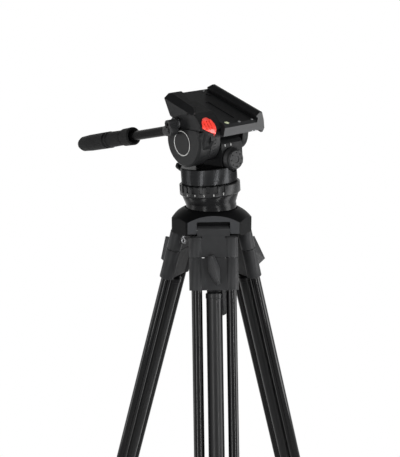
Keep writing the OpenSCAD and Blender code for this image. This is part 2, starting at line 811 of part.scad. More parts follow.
// Socket screw, sunk in the clamp's outer side
module bar_screw() {
    key_r = 2.5;                               // hexagonal socket
    color("#2c2d2f") in_bar() difference() {
        union() {
            rod_x(clamp_out + 1, -side_x + 10, screw_r);
            rod_x(clamp_out + 0.5, clamp_out + sink, sunk_r);
        }
        translate([clamp_out - eps, 0, 0]) rotate([0, 90, 0]) cylinder(r = key_r, h = 3 + eps, $fn = 6);
    }
}

module pan_bar() {
    end_y = bar_reach - 14;
    color("#26272a") in_bar() translate([bar_x, 0, -bar_drop]) difference() {
        rod_y(bar_start, end_y, bar_r);
        rod_y(bar_start + 8, end_y + eps, bar_r - 1.5);
    }
}

module grip() {
    start = bar_reach - grip_len;
    collar = 25;
    groove = start + 62;
    end_r = 9;
    color("#1f2021") in_bar() translate([bar_x, 0, -bar_drop]) rotate([-90, 0, 0]) rotate_extrude()
        polygon([[bar_r + slide_gap, start + 4], [grip_r - 1.5, start], [grip_r + 1, start + 1.5],
            [grip_r + 0.6, start + collar - 3], [grip_r - 1.5, start + collar],
            [grip_r - 1, start + collar + 2],
            [grip_r - 0.5, groove - 1], [grip_r + 0.3, groove], [grip_r + 0.3, groove + 3],
            [grip_r - 1.2, groove + 5],
            [grip_r - 1.2, groove + 8], [grip_r + 0.3, groove + 10], [grip_r + 0.2, bar_reach - 30],
            [grip_r - 0.8, bar_reach - 9], [end_r, bar_reach - 2], [end_r - 4, bar_reach], [0, bar_reach],
            [0, bar_reach - 13], [bar_r + slide_gap, bar_reach - 13]]);
}

// ---- Brake levers ----

module pan_brake_place() {
    rotate([0, 0, 95]) translate([housing_r, 0, pan_brake_z]) children();
}

module brake_blade(len, w, t) {
    linear_extrude(t) polygon([[-w / 2, -4], [-w / 2, 3], [-w / 2 + 1, len - 3], [-w / 4, len], [w / 4, len],
        [w / 2 - 1, len - 3], [w / 2, 3], [w / 2, -4], [w / 4, -7], [-w / 4, -7]]);
}

module pan_brake_lever() {
    color("#2a2b2d") in_pan() pan_brake_place() {
        rod_x(-11, 4, screw_r);
        translate([0.6, 0, 0]) rotate([90, 0, 90]) rotate([0, 0, -55]) brake_blade(26, 11, 5);
    }
}

module tilt_brake_place() {
    translate([8, support_front - 2, tilt_h - 24]) children();
}

module tilt_brake_lever() {
    blade_y = cover_r + 1 - (support_front - 2);
    color("#2a2b2d") in_pan() tilt_brake_place() {
        rod_y(-9, blade_y + 1, screw_r);
        rod_y(face_gap, blade_y + 1, 5);
        translate([0, blade_y + 5, 0]) rotate([90, 0, 0]) rotate([0, 0, 104]) brake_blade(33, 8, 5);
    }
}

// ---- Legs ----

module block_plan() {
    for (s = [-1, 1]) translate([s * tube_x, 0]) circle(r = column_r);
    square([2 * tube_x, plate_t], center = true);
}

module tube_bores(u0, u1) {
    for (s = [-1, 1]) translate([s * tube_x, 0, -u1]) cylinder(r = tube_r + slide_gap, h = u1 - u0);
}

module hinge_block(k) {
    top_u = tongue_r + 1.5;
    color("#3d3e40") in_leg(k) difference() {
        union() {
            translate([0, 0, -split_u]) linear_extrude(split_u - top_u) block_plan();
            translate([-tongue_w / 2, -tongue_r, -top_u - eps]) cube([tongue_w, 2 * tongue_r, top_u + eps]);
            rotate([0, 90, 0]) cylinder(r = tongue_r, h = tongue_w, center = true);
        }
        rotate([0, 90, 0]) cylinder(r = pin_r + slide_gap, h = tongue_w + 2 * eps, center = true);
        tube_bores(top_u + 8, split_u + eps);
        for (s = [-1, 1]) translate([s * tube_x, 0, -top_u]) rotate_extrude()
            polygon([[column_r - 2, 0.01], [column_r + eps, 0.01], [column_r + eps, -2 - eps]]);
    }
}

module clamp_block(k) {
    slit = 1.2;
    color("#3d3e40") in_leg(k) difference() {
        translate([0, 0, -block_u]) linear_extrude(block_u - split_u - 0.8) block_plan();
        tube_bores(split_u, block_u + eps);
        translate([lever_x, 0, -lever_u]) rod_y(-plate_t, 0, screw_r + slide_gap);
        for (s = [-1, 1]) translate([s * (tube_x - 0.5) - slit / 2, 0, -block_u - eps])
            cube([slit, column_r + eps, 22]);
    }
}

module leaf_plan(l, w) {
    polygon([[-w * 0.2, 9], [w * 0.22, 9], [w * 0.36, 2], [w * 0.5, -l * 0.36], [w * 0.3, -l * 0.8],
        [w * 0.22, -l],
        [-w * 0.12, -l], [-w * 0.3, -l * 0.8], [-w * 0.5, -l * 0.36], [-w * 0.34, 2]]);
}

// Leaf-shaped wing lever that turns in front of the plane y = -front, with a ridge down its middle
module leaf_lever(k, front, pin_l) {
    flat = 3.5;
    ridge = 0.5;
    translate([0, -front - face_gap, 0]) {
        rotate([0, lever_turns[k], 0]) rotate([90, 0, 0]) {
            linear_extrude(flat) leaf_plan(lever_l, lever_w);
            hull() {
                translate([0, 0, flat]) linear_extrude(0.2) leaf_plan(lever_l, lever_w);
                translate([-1, -lever_l + 4, lever_t - ridge]) cube([2, lever_l + 3, ridge]);
            }
        }
        rod_y(-1, face_gap + pin_l, screw_r);
    }
}

module block_lever(k) {
    color("#55575a") in_leg(k) translate([lever_x, 0, -lever_u]) leaf_lever(k, column_r, 9.5);
}

module outer_tubes(k) {
    color("#17181a") in_leg(k) for (s = [-1, 1])
        translate([s * tube_x, 0, 0]) tube(tongue_r + 10, yoke_u + yoke_h - 8, tube_r, tube_wall);
}

module yoke_plan() {
    block_plan();
    circle(r = mid_r + yoke_wall);
}

module lower_yoke(k) {
    end_u = yoke_u + yoke_h;
    color("#3d3e40") in_leg(k) difference() {
        translate([0, 0, -end_u]) linear_extrude(yoke_h) yoke_plan();
        tube_bores(yoke_u - eps, end_u - 7.5);
        translate([0, 0, -end_u - eps]) cylinder(r = mid_r + slide_gap, h = yoke_h + 2 * eps);
        translate([-0.7, mid_r - 1, -end_u - eps]) cube([1.4, 8, yoke_h + 2 * eps]);
        translate([0, 0, -yoke_u - lever_drop]) rod_y(-30, -mid_r - 1, screw_r + slide_gap);
    }
}

module yoke_lever(k) {
    color("#55575a") in_leg(k) translate([0, 0, -yoke_u - lever_drop]) leaf_lever(k, mid_r + yoke_wall, 3);
}

module middle_tube(k) {
    cap_r = mid_r + 0.7;
    color("#17181a") in_leg(k) translate([0, 0, -mid_top]) rotate_extrude()
        polygon([[0, 0], [cap_r - 2.5, 0], [cap_r, -2.5], [cap_r, -9], [mid_r, -9.5],
            [mid_r, mid_top - mid_end],
            [mid_r - tube_wall, mid_top - mid_end], [mid_r - tube_wall, -12], [0, -12]]);
}

module twist_collar(k) {
    ribs = 18;
    seat = mid_end - collar_u;
    color("#2b2c2e") in_leg(k) translate([0, 0, -collar_u]) difference() {
        union() {
            translate([0, 0, -2]) cylinder(r1 = collar_r, r2 = collar_r - 2, h = 2);
            translate([0, 0, -collar_h + 3]) cylinder(r = collar_r, h = collar_h - 5);
            translate([0, 0, -collar_h]) cylinder(r1 = collar_r - 3, r2 = collar_r, h = 3);
        }
        translate([0, 0, -seat - 0.3]) cylinder(r = mid_r + slide_gap, h = seat + eps);
        translate([0, 0, -collar_h - eps]) cylinder(r = low_r + slide_gap, h = collar_h);
        for (i = [0 : ribs - 1]) rotate([0, 0, 360 * i / ribs])
            translate([collar_r + 0.6, 0, -collar_h + 6]) cylinder(r = 1.6, h = collar_h - 11, $fn = 24);
    }
}

module lower_tube(k) {
    color("#17181a") in_leg(k) tube(low_top, low_end, low_r, tube_wall);
}

// Rubber boot with a ball end, cut flat where it meets the floor
module foot(k) {
    color("#242424") intersection() {
        in_leg(k) difference() {
            union() {
                translate([0, 0, -foot_u]) sphere(r = foot_r, $fn = 64);
                translate([0, 0, -foot_u]) cylinder(r1 = foot_r, r2 = low_r + 3.5, h = foot_u - boot_u - 3);
                translate([0, 0, -boot_u - 3]) cylinder(r1 = low_r + 3.5, r2 = low_r + 2, h = 3);
            }
            translate([0, 0, -low_end - 0.2]) cylinder(r = low_r + slide_gap, h = low_end);
        }
        cylinder(r = 3 * foot_u, h = rim_z);
    }
}

crown();
hinge_pins();
strap_eye();
levelling_washer();
half_ball();
clamp_stud();
tie_down_handle();
pan_spindle();
pan_drag_ring();
pan_housing();
tilt_support();
counterbalance_knob();
tilt_axle();
tilt_drag_ring();
tilt_housing();
side_cover();
badge_ring();
platform();
right_arm();
plate_lock_lever();
release_button();
button_spring();
bubble_level();
rosette();
bar_clamp();
bar_screw();
pan_bar();
grip();
pan_brake_lever();
tilt_brake_lever();
hinge_block(0);  // hinge_block_front
clamp_block(0);  // clamp_block_front
block_lever(0);  // block_lever_front
outer_tubes(0);  // outer_tubes_front
lower_yoke(0);  // lower_yoke_front
yoke_lever(0);  // yoke_lever_front
middle_tube(0);  // middle_tube_front
twist_collar(0);  // twist_collar_front
lower_tube(0);  // lower_tube_front
foot(0);  // foot_front
hinge_block(1);  // hinge_block_right
clamp_block(1);  // clamp_block_right
block_lever(1);  // block_lever_right
outer_tubes(1);  // outer_tubes_right
lower_yoke(1);  // lower_yoke_right
yoke_lever(1);  // yoke_lever_right
middle_tube(1);  // middle_tube_right
twist_collar(1);  // twist_collar_right
lower_tube(1);  // lower_tube_right
foot(1);  // foot_right
hinge_block(2);  // hinge_block_left
clamp_block(2);  // clamp_block_left
block_lever(2);  // block_lever_left
outer_tubes(2);  // outer_tubes_left
lower_yoke(2);  // lower_yoke_left
yoke_lever(2);  // yoke_lever_left
middle_tube(2);  // middle_tube_left
twist_collar(2);  // twist_collar_left
lower_tube(2);  // lower_tube_left
foot(2);  // foot_left
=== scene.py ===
"""Dressing of a video tripod with a fluid head, in metres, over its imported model."""
import json
import math

import bpy
from bpy.props import FloatProperty, FloatVectorProperty, IntProperty, PointerProperty
from mathutils import Matrix, Vector


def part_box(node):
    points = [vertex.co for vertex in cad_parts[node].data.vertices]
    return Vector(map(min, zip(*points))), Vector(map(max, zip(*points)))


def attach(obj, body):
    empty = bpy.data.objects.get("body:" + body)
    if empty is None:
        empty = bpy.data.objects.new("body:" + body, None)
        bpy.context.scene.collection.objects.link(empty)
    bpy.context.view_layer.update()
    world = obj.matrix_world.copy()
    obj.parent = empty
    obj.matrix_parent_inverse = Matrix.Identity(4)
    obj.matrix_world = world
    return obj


bl_info = {
    "name": "Fluid head tripod dressing",
    "version": (1, 0, 0),
    "blender": (4, 5, 0),
    "location": "View3D > Sidebar > Tripod",
    "description": "Finishes, fasteners, dial numbers and studio for a video tripod",
    "category": "Object",
}

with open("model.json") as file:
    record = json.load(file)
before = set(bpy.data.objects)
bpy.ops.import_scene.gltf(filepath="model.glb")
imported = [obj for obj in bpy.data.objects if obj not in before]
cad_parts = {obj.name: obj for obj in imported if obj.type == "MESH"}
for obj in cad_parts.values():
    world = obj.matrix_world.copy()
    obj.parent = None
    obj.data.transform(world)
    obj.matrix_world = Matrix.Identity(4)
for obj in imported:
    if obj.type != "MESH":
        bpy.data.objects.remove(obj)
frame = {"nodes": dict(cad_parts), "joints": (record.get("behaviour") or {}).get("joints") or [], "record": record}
NODES = frame["nodes"]
JOINTS = {joint["name"]: joint for joint in frame["joints"]}
MOUNTS = {mount["name"]: mount for mount in frame["record"]["mounts"]}
LEGS = ("front", "right", "left")
MM = 0.001


# ---- Places on the tripod, read from its joints ----

def placed(origin, x_axis, z_axis):
    """Matrix of a local frame with this origin, X axis and Z axis."""
    x_axis, z_axis = Vector(x_axis).normalized(), Vector(z_axis).normalized()
    columns = Matrix((x_axis, z_axis.cross(x_axis), z_axis)).transposed()
    return Matrix.Translation(Vector(origin)) @ columns.to_4x4()


# RIM is the bowl's centre. PAN stands there and TILT on the tilt axis, both with X along the tilt axis.
# PAN's Z runs up the pan axis, and TILT's is square to the bed.
RIM = Vector(JOINTS["ball_lean"]["pos_m"])
PAN = placed(RIM, JOINTS["tilt"]["axis"], JOINTS["pan_turn"]["axis"])
TILT = placed(JOINTS["tilt"]["pos_m"], JOINTS["tilt"]["axis"], MOUNTS["plate_bed"]["axis"])
BAR_SLOPE = math.radians(29)   # of the pan bar, against the platform
BAR = Matrix.Translation(Vector(JOINTS["bar_swing"]["pos_m"])) @ (
    TILT.to_3x3() @ Matrix.Rotation(-BAR_SLOPE, 3, "X")).to_4x4()

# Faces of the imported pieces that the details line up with
LOBE_FACE = 46.5 * MM         # front faces of the crown's lobes, from its axis
RING_RADIUS = 44.5 * MM       # outside of the pan drag ring
SUPPORT_FRONT = 32 * MM       # front face of the upright, from the pan axis
PLATFORM_FRONT = 42 * MM      # front face of the platform, from the tilt axis
BED_TOP = 37 * MM             # the platform's bed, above the tilt axis


def leg_frame(leg):
    """Frame of a leg: origin on its hinge, X along the hinge pin, -Z down the leg, -Y outward."""
    fold = JOINTS["fold_" + leg]
    return placed(fold["pos_m"], -Vector(fold["axis"]), -Vector(JOINTS["middle_slide_" + leg]["axis"]))


# ---- Modelling helpers ----

def clear_selection():
    """Deselects every object, so that an operator acts on one piece only."""
    if bpy.context.object and bpy.context.object.mode != "OBJECT":
        bpy.ops.object.mode_set(mode="OBJECT")
    bpy.ops.object.select_all(action="DESELECT")


def take(piece):
    """Makes this piece the only one selected, and active."""
    clear_selection()
    piece.select_set(True)
    bpy.context.view_layer.objects.active = piece


def new_piece(name):
    """Names the primitive that was just added, and returns it."""
    piece = bpy.context.object
    piece.name = name
    piece.data.name = name
    return piece


def shape(piece, picks, *steps):
    """Selects the faces that picks(centre, normal) names, and runs edit-mode steps on them."""
    take(piece)
    for polygon in piece.data.polygons:
        polygon.select = bool(picks(polygon.center, polygon.normal))
    for edge in piece.data.edges:
        edge.select = False
    for vertex in piece.data.vertices:
        vertex.select = False
    for polygon in piece.data.polygons:
        if polygon.select:
            for index in polygon.vertices:
                piece.data.vertices[index].select = True
    bpy.ops.object.mode_set(mode="EDIT")
    bpy.ops.mesh.select_mode(type="FACE")
    for step in steps:
        step()
    bpy.ops.object.mode_set(mode="OBJECT")


def finish_shape(piece, place, body, bevel):
    """Rounds the edges, puts the shape in its place in the mesh, and lets it ride on a body."""
    take(piece)
    rounding = piece.modifiers.new("Rounded edges", "BEVEL")
    rounding.width = bevel
    rounding.segments = 2
    rounding.limit_method = "ANGLE"
    rounding.angle_limit = math.radians(30)
    bpy.ops.object.modifier_apply(modifier=rounding.name)
    piece.matrix_world = place @ piece.matrix_world
    bpy.ops.object.transform_apply(location=True, rotation=True, scale=True)
    bpy.ops.object.shade_smooth_by_angle(angle=math.radians(35))
    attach(piece, body)
    return piece


def joined(pieces, name):
    """Joins finished shapes into one piece."""
    clear_selection()
    for piece in pieces:
        piece.select_set(True)
    bpy.context.view_layer.objects.active = pieces[0]
    if len(pieces) > 1:
        bpy.ops.object.join()
    return new_piece(name)


# ---- Finish helpers ----

def shade(value, factor):
    """A colour made lighter or darker."""
    return tuple(min(1.0, channel * factor) for channel in value[:3])


class Finish:
    """A material under construction: its shader, its object coordinates, and helpers that add nodes."""

    def __init__(self, name, roughness, metallic=0.0, specular=0.5, coat=0.0, coat_roughness=0.1):
        self.material = bpy.data.materials.new(name)
        self.material.use_nodes = True
        self.tree = self.material.node_tree
        self.shader = self.tree.nodes["Principled BSDF"]
        self.base_roughness = roughness
        for socket, value in (
                ("Roughness", roughness), ("Metallic", metallic), ("Specular IOR Level", specular),
                ("Coat Weight", coat), ("Coat Roughness", coat_roughness)):
            self.shader.inputs[socket].default_value = value
        self.object = self.add("ShaderNodeTexCoord").outputs["Object"]
        self.last_bump = None

    def add(self, kind, **settings):
        node = self.tree.nodes.new(kind)
        for key, value in settings.items():
            setattr(node, key, value)
        return node

    def link(self, source, target):
        self.tree.links.new(source, target)

    def mapped(self, place, stretch=None):
        """Object coordinates in the frame of a matrix, stretched along its axes."""
        back = place.inverted()
        turn = self.add("ShaderNodeMapping", vector_type="POINT")
        turn.inputs["Rotation"].default_value = back.to_euler()
        turn.inputs["Location"].default_value = back.to_translation()
        self.link(self.object, turn.inputs["Vector"])
        if stretch is None:
            return turn.outputs["Vector"]
        scale = self.add("ShaderNodeMapping", vector_type="POINT")
        scale.inputs["Scale"].default_value = stretch
        self.link(turn.outputs["Vector"], scale.inputs["Vector"])
        return scale.outputs["Vector"]

    def coordinates(self, place):
        """X, Y and Z in the frame of a matrix, each a socket."""
        parts = self.add("ShaderNodeSeparateXYZ")
        self.link(self.mapped(place), parts.inputs[0])
        return tuple(parts.outputs)

    def noise(self, scale, detail=3.0, vector=None, rough=0.55):
        node = self.add("ShaderNodeTexNoise")
        node.inputs["Scale"].default_value = scale
        node.inputs["Detail"].default_value = detail
        node.inputs["Roughness"].default_value = rough
        self.link(self.object if vector is None else vector, node.inputs["Vector"])
        return node.outputs["Fac"]

    def ranged(self, value, low, high, start=0.0, end=1.0):
        """Runs from low to high as the value runs from start to end."""
        node = self.add("ShaderNodeMapRange")
        self.link(value, node.inputs["Value"])
        for socket, number in (("From Min", start), ("From Max", end), ("To Min", low), ("To Max", high)):
            node.inputs[socket].default_value = number
        return node.outputs["Result"]

    def maths(self, operation, *values):
        """Socket of an operation on numbers and sockets."""
        node = self.add("ShaderNodeMath", operation=operation)
        for socket, value in zip(node.inputs, values):
            if isinstance(value, (int, float)):
                socket.default_value = value
            else:
                self.link(value, socket)
        return node.outputs[0]

    def between(self, value, low, high):
        """1 where the value lies between two numbers, else 0."""
        above = self.maths("GREATER_THAN", value, low)
        return self.maths("MULTIPLY", above, self.maths("LESS_THAN", value, high))

    def largest(self, values):
        """The largest of some sockets."""
        total = values[0]
        for value in values[1:]:
            total = self.maths("MAXIMUM", total, value)
        return total

    def mixed(self, factor, first, second):
        """Mix of two colours, each a colour or a socket, by a socket."""
        node = self.add("ShaderNodeMix", data_type="RGBA")
        self.link(factor, node.inputs[0])
        # Inputs 6 and 7 of this node are its two colours, and output 2 is the mixed one
        for socket, value in ((node.inputs[6], first), (node.inputs[7], second)):
            if hasattr(value, "is_linked"):
                self.link(value, socket)
            else:
                socket.default_value = (*value[:3], 1.0)
        return node.outputs[2]

    def tinted(self, value, colour, first, second, start=0.3, end=0.7):
        """The colour times a first factor where the value is low, and times a second where it is high."""
        factor = self.ranged(value, 0.0, 1.0, start, end)
        return self.mixed(factor, shade(colour, first), shade(colour, second))

    def uneven(self, value, less, more, start=0.3, end=0.7):
        """The finish's roughness, by so much less where the value is low, and more where it is high."""
        return self.ranged(value, self.base_roughness - less, self.base_roughness + more, start, end)

    def colour(self, value):
        self.link(value, self.shader.inputs["Base Color"])

    def roughness(self, value):
        self.link(value, self.shader.inputs["Roughness"])

    def bump(self, height, strength, depth):
        """Adds a bump of this depth in metres over those made before."""
        node = self.add("ShaderNodeBump")
        node.inputs["Strength"].default_value = strength
        node.inputs["Distance"].default_value = depth
        self.link(height, node.inputs["Height"])
        if self.last_bump is not None:
            self.link(self.last_bump, node.inputs["Normal"])
        self.last_bump = node.outputs["Normal"]
        self.link(self.last_bump, self.shader.inputs["Normal"])


class PowderCoat(Finish):
    """Powder coat on cast metal: a soft orange-peel skin with fine specks."""

    def __init__(self, name, colour, roughness, specular=0.12):
        super().__init__(name, roughness, specular=specular)
        self.peel = self.noise(620.0, 2.0)
        self.speck = self.noise(2600.0, 2.0)
        body = self.tinted(self.noise(30.0, 2.0), colour, 0.85, 1.15, 0.35, 0.65)
        self.skin = self.mixed(self.ranged(self.speck, 0.0, 0.5, 0.58, 0.75), body, shade(colour, 1.9))
        self.gloss = self.uneven(self.peel, 0.07, 0.08)
        self.colour(self.skin)
        self.roughness(self.gloss)
        self.bump(self.peel, 0.25, 0.10 * MM)
        self.bump(self.speck, 0.2, 0.03 * MM)


def background_ray(tree):
    """Socket that is 1 for the rays that show the white background, directly or in a reflection."""
    path = tree.nodes.new("ShaderNodeLightPath")
    total = path.outputs["Is Camera Ray"]
    for name in ("Is Glossy Ray", "Is Transmission Ray"):
        node = tree.nodes.new("ShaderNodeMath")
        node.operation = "MAXIMUM"
        tree.links.new(total, node.inputs[0])
        tree.links.new(path.outputs[name], node.inputs[1])
        total = node.outputs[0]
    return total


# ---- The tripod's finishes ----

def moulded(name, colour, roughness, grain=1400.0, depth=0.05, specular=0.09):
    """Moulded plastic: a fine spark-eroded grain, faint flow marks and slightly uneven gloss."""
    finish = Finish(name, roughness, specular=specular)
    fine = finish.noise(grain, 4.0)
    body = finish.tinted(finish.noise(38.0, 2.0), colour, 0.86, 1.14, 0.35, 0.65)
    finish.colour(finish.mixed(finish.ranged(fine, 0.0, 0.35, 0.5, 0.75), body, shade(colour, 1.6)))
    finish.roughness(finish.uneven(finish.noise(210.0), 0.06, 0.08))
    finish.bump(fine, 0.35, depth * MM)
    return finish.material


# Painted shadow: a matt black band on each lobe's front face, over its hinge tongue, stands in for the shade of a
# gap there.
GAP_SHADOW_HALF_WIDTH = 23.3 * MM
GAP_SHADOW_START = 40 * MM                  # from the crown's axis
GAP_SHADOW_HEIGHTS = (-19 * MM, -13 * MM)   # lower and upper edge, from the rim
FACE_SKIN = 0.2 * MM                    # depth of surface that counts as a lobe's front face
PAINTED_SHADOW_BLACK = (0.0008, 0.0008, 0.0008)


def crown_finish(name, colour):
    """Powder-coated crown, with a painted highlight that lightens the lobes' front faces and a painted shadow, a
    matt black band, over each hinge tongue.
    """
    finish = PowderCoat(name, colour, 0.42, specular=0.03)
    painted_gap_shadows, faces = [], []
    for turn in range(3):
        lobe = Matrix.Rotation(math.radians(120 * turn), 3, "Z") @ Vector((1, 0, 0))
        across, inward, height = finish.coordinates(placed(RIM, lobe, (0, 0, 1)))
        inside = finish.maths("LESS_THAN", finish.maths("ABSOLUTE", across), GAP_SHADOW_HALF_WIDTH)
        inside = finish.maths("MULTIPLY", inside, finish.maths("LESS_THAN", inward, -GAP_SHADOW_START))
        painted_gap_shadows.append(finish.maths("MULTIPLY", inside, finish.between(height, *GAP_SHADOW_HEIGHTS)))
        faces.append(finish.maths("LESS_THAN", inward, FACE_SKIN - LOBE_FACE))
    painted_gap_shadow = finish.largest(painted_gap_shadows)
    # Painted highlight: the lobes' front faces get nine to thirteen times the crown's colour, for the light that
    # falls on them.
    flecks = finish.ranged(finish.speck, 0.0, 0.6, 0.5, 0.75)
    front = finish.mixed(flecks, shade(colour, 9.0), shade(colour, 13.0))
    body = finish.mixed(finish.largest(faces), finish.skin, front)
    # Painted shadow: the bands over the hinge tongues are coloured matt black.
    finish.colour(finish.mixed(painted_gap_shadow, body, PAINTED_SHADOW_BLACK))
    finish.roughness(finish.maths("ADD", finish.gloss, finish.maths("MULTIPLY", painted_gap_shadow, 0.4)))
    return finish.material


def platform_finish(name, colour, front):
    """Powder-coated platform, whose front bar's face is painted lighter: a painted highlight for the light that
    falls on it.
    """
    finish = PowderCoat(name, colour, 0.4)
    inward = finish.coordinates(TILT)[1]
    # Painted highlight: the front bar's face takes the lighter front colour.
    face = finish.ranged(inward, 1.0, 0.0, 0.1 * MM - PLATFORM_FRONT, 0.5 * MM - PLATFORM_FRONT)
    finish.colour(finish.mixed(face, finish.skin, finish.tinted(finish.peel, front, 0.9, 1.1)))
    return finish.material


def drawn_tube(name, colour, place, roughness, specular):
    """Gloss anodised tube: faint drawing lines along its length and a few handling marks."""
    finish = Finish(name, roughness, specular=specular)
    lines = finish.noise(1.0, 3.0, finish.mapped(place, (2600.0, 2600.0, 5.0)))
    marks = finish.noise(1.0, 5.0, finish.mapped(place, (160.0, 160.0, 18.0)), rough=0.7)
    finish.colour(finish.tinted(lines, colour, 0.8, 1.3))
    finish.roughness(finish.uneven(marks, 0.04, 0.08, 0.35, 0.75))
    finish.bump(lines, 0.05, 0.005 * MM)
    return finish.material


def satin_tube(name, colour, place):
    """Satin anodised tube: drawing lines along its length under an even sheen."""
    finish = Finish(name, 0.34, specular=0.18)
    lines = finish.noise(1.0, 3.0, finish.mapped(place, (1900.0, 1900.0, 4.0)))
    finish.colour(finish.tinted(lines, colour, 0.85, 1.2))
    finish.roughness(finish.uneven(finish.noise(45.0), 0.05, 0.07))
    finish.bump(lines, 0.06, 0.008 * MM)
    return finish.material


def turned_metal(name, colour, place, roughness, metallic=1.0):
    """Turned metal: fine tool lines round the Z axis of a frame, with an even satin anodising."""
    finish = Finish(name, roughness, metallic=metallic)
    finish.shader.inputs["Specular Tint"].default_value = (0.45, 0.45, 0.45, 1.0)
    lines = finish.noise(1.0, 2.0, finish.mapped(place, (6.0, 6.0, 3200.0)))
    finish.colour(finish.tinted(lines, colour, 0.88, 1.12))
    finish.roughness(finish.uneven(finish.noise(60.0), 0.05, 0.07))
    finish.bump(lines, 0.08, 0.008 * MM)
    return finish.material


def plated_steel(name, colour, roughness):
    """Plated steel of pins and screws: bright with a light grain and small stains."""
    finish = Finish(name, roughness, metallic=1.0)
    stain = finish.noise(120.0, 4.0)
    finish.colour(finish.tinted(stain, colour, 1.0, 0.72, 0.35, 0.7))
    finish.roughness(finish.uneven(stain, 0.06, 0.14))
    finish.bump(finish.noise(1800.0), 0.15, 0.01 * MM)
    return finish.material


def gloss_black(name, colour):
    """Gloss lacquer over a turned ball, with a trace of polishing swirls."""
    finish = Finish(name, 0.22, specular=0.1)
    swirl = finish.noise(260.0, 4.0)
    finish.colour(finish.tinted(swirl, colour, 0.8, 1.25, 0.35, 0.65))
    finish.roughness(finish.uneven(swirl, 0.03, 0.06))
    finish.bump(swirl, 0.04, 0.01 * MM)
    return finish.material


def rubber(name, colour, pebble, depth, roughness):
    """Moulded rubber: a pebbled skin with dusty hollows."""
    finish = Finish(name, roughness, specular=0.06)
    cells = finish.add("ShaderNodeTexVoronoi", feature="SMOOTH_F1")
    cells.inputs["Scale"].default_value = pebble
    finish.link(finish.object, cells.inputs["Vector"])
    skin = cells.outputs["Distance"]
    finish.colour(finish.tinted(finish.noise(90.0, 4.0), colour, 0.85, 1.5, 0.35, 0.7))
    finish.roughness(finish.uneven(skin, 0.1, 0.1, 0.1, 0.6))
    finish.bump(skin, 0.45, depth * MM)
    return finish.material


def gloss_plastic(name, colour):
    """Coloured gloss plastic with faint sink marks and fine scuffs."""
    finish = Finish(name, 0.3)
    scuff = finish.noise(1500.0)
    finish.colour(finish.tinted(finish.noise(120.0, 2.0), colour, 0.9, 1.08, 0.35, 0.65))
    finish.roughness(finish.uneven(scuff, 0.05, 0.1, 0.35, 0.7))
    finish.bump(scuff, 0.12, 0.02 * MM)
    return finish.material


BADGE_CENTRE = (0.5 * MM, -3.3 * MM)    # along Y and Z from the tilt axis
BADGE_RING = (16.9 * MM, 18.0 * MM)     # inner and outer radius


def badge_finish(name, dark, light):
    """Bare badge: a dark fine-grained disc inside a light raised ring."""
    finish = Finish(name, 0.42, specular=0.12)
    squares = []
    for value, centre in zip(finish.coordinates(TILT)[1:], BADGE_CENTRE):
        squares.append(finish.maths("POWER", finish.maths("SUBTRACT", value, centre), 2.0))
    ring = finish.between(finish.maths("SQRT", finish.maths("ADD", *squares)), *BADGE_RING)
    grain = finish.noise(1600.0)
    finish.colour(finish.mixed(ring, finish.tinted(grain, dark, 0.85, 1.3), light))
    finish.roughness(finish.uneven(grain, 0.04, 0.08))
    finish.bump(grain, 0.2, 0.02 * MM)
    return finish.material


BUBBLE_PLACE = Vector((0.4, 0.3, 1.2)) * MM   # off the level's middle, in the tilt frame
BUBBLE_RADIUS = 1.3 * MM
LEVEL_MARK = (1.9 * MM, 2.2 * MM)       # inner and outer radius of the ring mark round the bubble
DARK_MARK = (0.02, 0.02, 0.02)


def vial_finish(name, liquid):
    """Round level: yellow-green liquid under a clear dome, with its bubble and ring mark."""
    finish = Finish(name, 0.06, specular=0.6, coat=1.0, coat_roughness=0.03)
    low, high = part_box("bubble_level")
    offset = finish.add("ShaderNodeVectorMath", operation="DISTANCE")
    finish.link(finish.object, offset.inputs[0])
    offset.inputs[1].default_value = (low + high) / 2 + TILT.to_3x3() @ BUBBLE_PLACE
    away = offset.outputs["Value"]
    body = finish.tinted(finish.noise(300.0, 2.0), liquid, 0.85, 1.1)
    marked = finish.mixed(finish.between(away, *LEVEL_MARK), body, DARK_MARK)
    bubble = finish.maths("LESS_THAN", away, BUBBLE_RADIUS)
    finish.colour(finish.mixed(bubble, marked, shade(liquid, 1.7)))
    return finish.material


def number_paint():
    """Print paint that both rows of numbers share: nearly white, slightly worn and matt."""
    found = bpy.data.materials.get("number paint")
    if found:
        return found
    finish = Finish("number paint", 0.55, specular=0.4)
    worn = finish.noise(2200.0)
    finish.colour(finish.tinted(worn, colours().print, 1.0, 0.6, 0.45, 0.8))
    finish.roughness(finish.uneven(worn, 0.1, 0.1))
    finish.bump(worn, 0.2, 0.01 * MM)
    return finish.material


def dress(node, material, rounding=0.0):
    """Gives a CAD node its finish and rounds its edges with live modifiers; its mesh stays as packed."""
    piece = NODES[node]
    piece.data.materials.clear()
    piece.data.materials.append(material)
    if not rounding:
        return
    weld = piece.modifiers.new("Joined faces", "WELD")
    weld.merge_threshold = 1e-6
    bevel = piece.modifiers.new("Rounded edges", "BEVEL")
    bevel.width = rounding
    bevel.segments = 2
    bevel.limit_method = "ANGLE"
    bevel.angle_limit = math.radians(28)
    bevel.use_clamp_overlap = True
    bevel.harden_normals = True


# ---- Sizes and colours that a user would change ----

PAINT = {"subtype": "COLOR", "size": 3, "min": 0.0, "max": 1.0}
POWER = {"unit": "POWER", "min": 0.0, "max": 500.0}


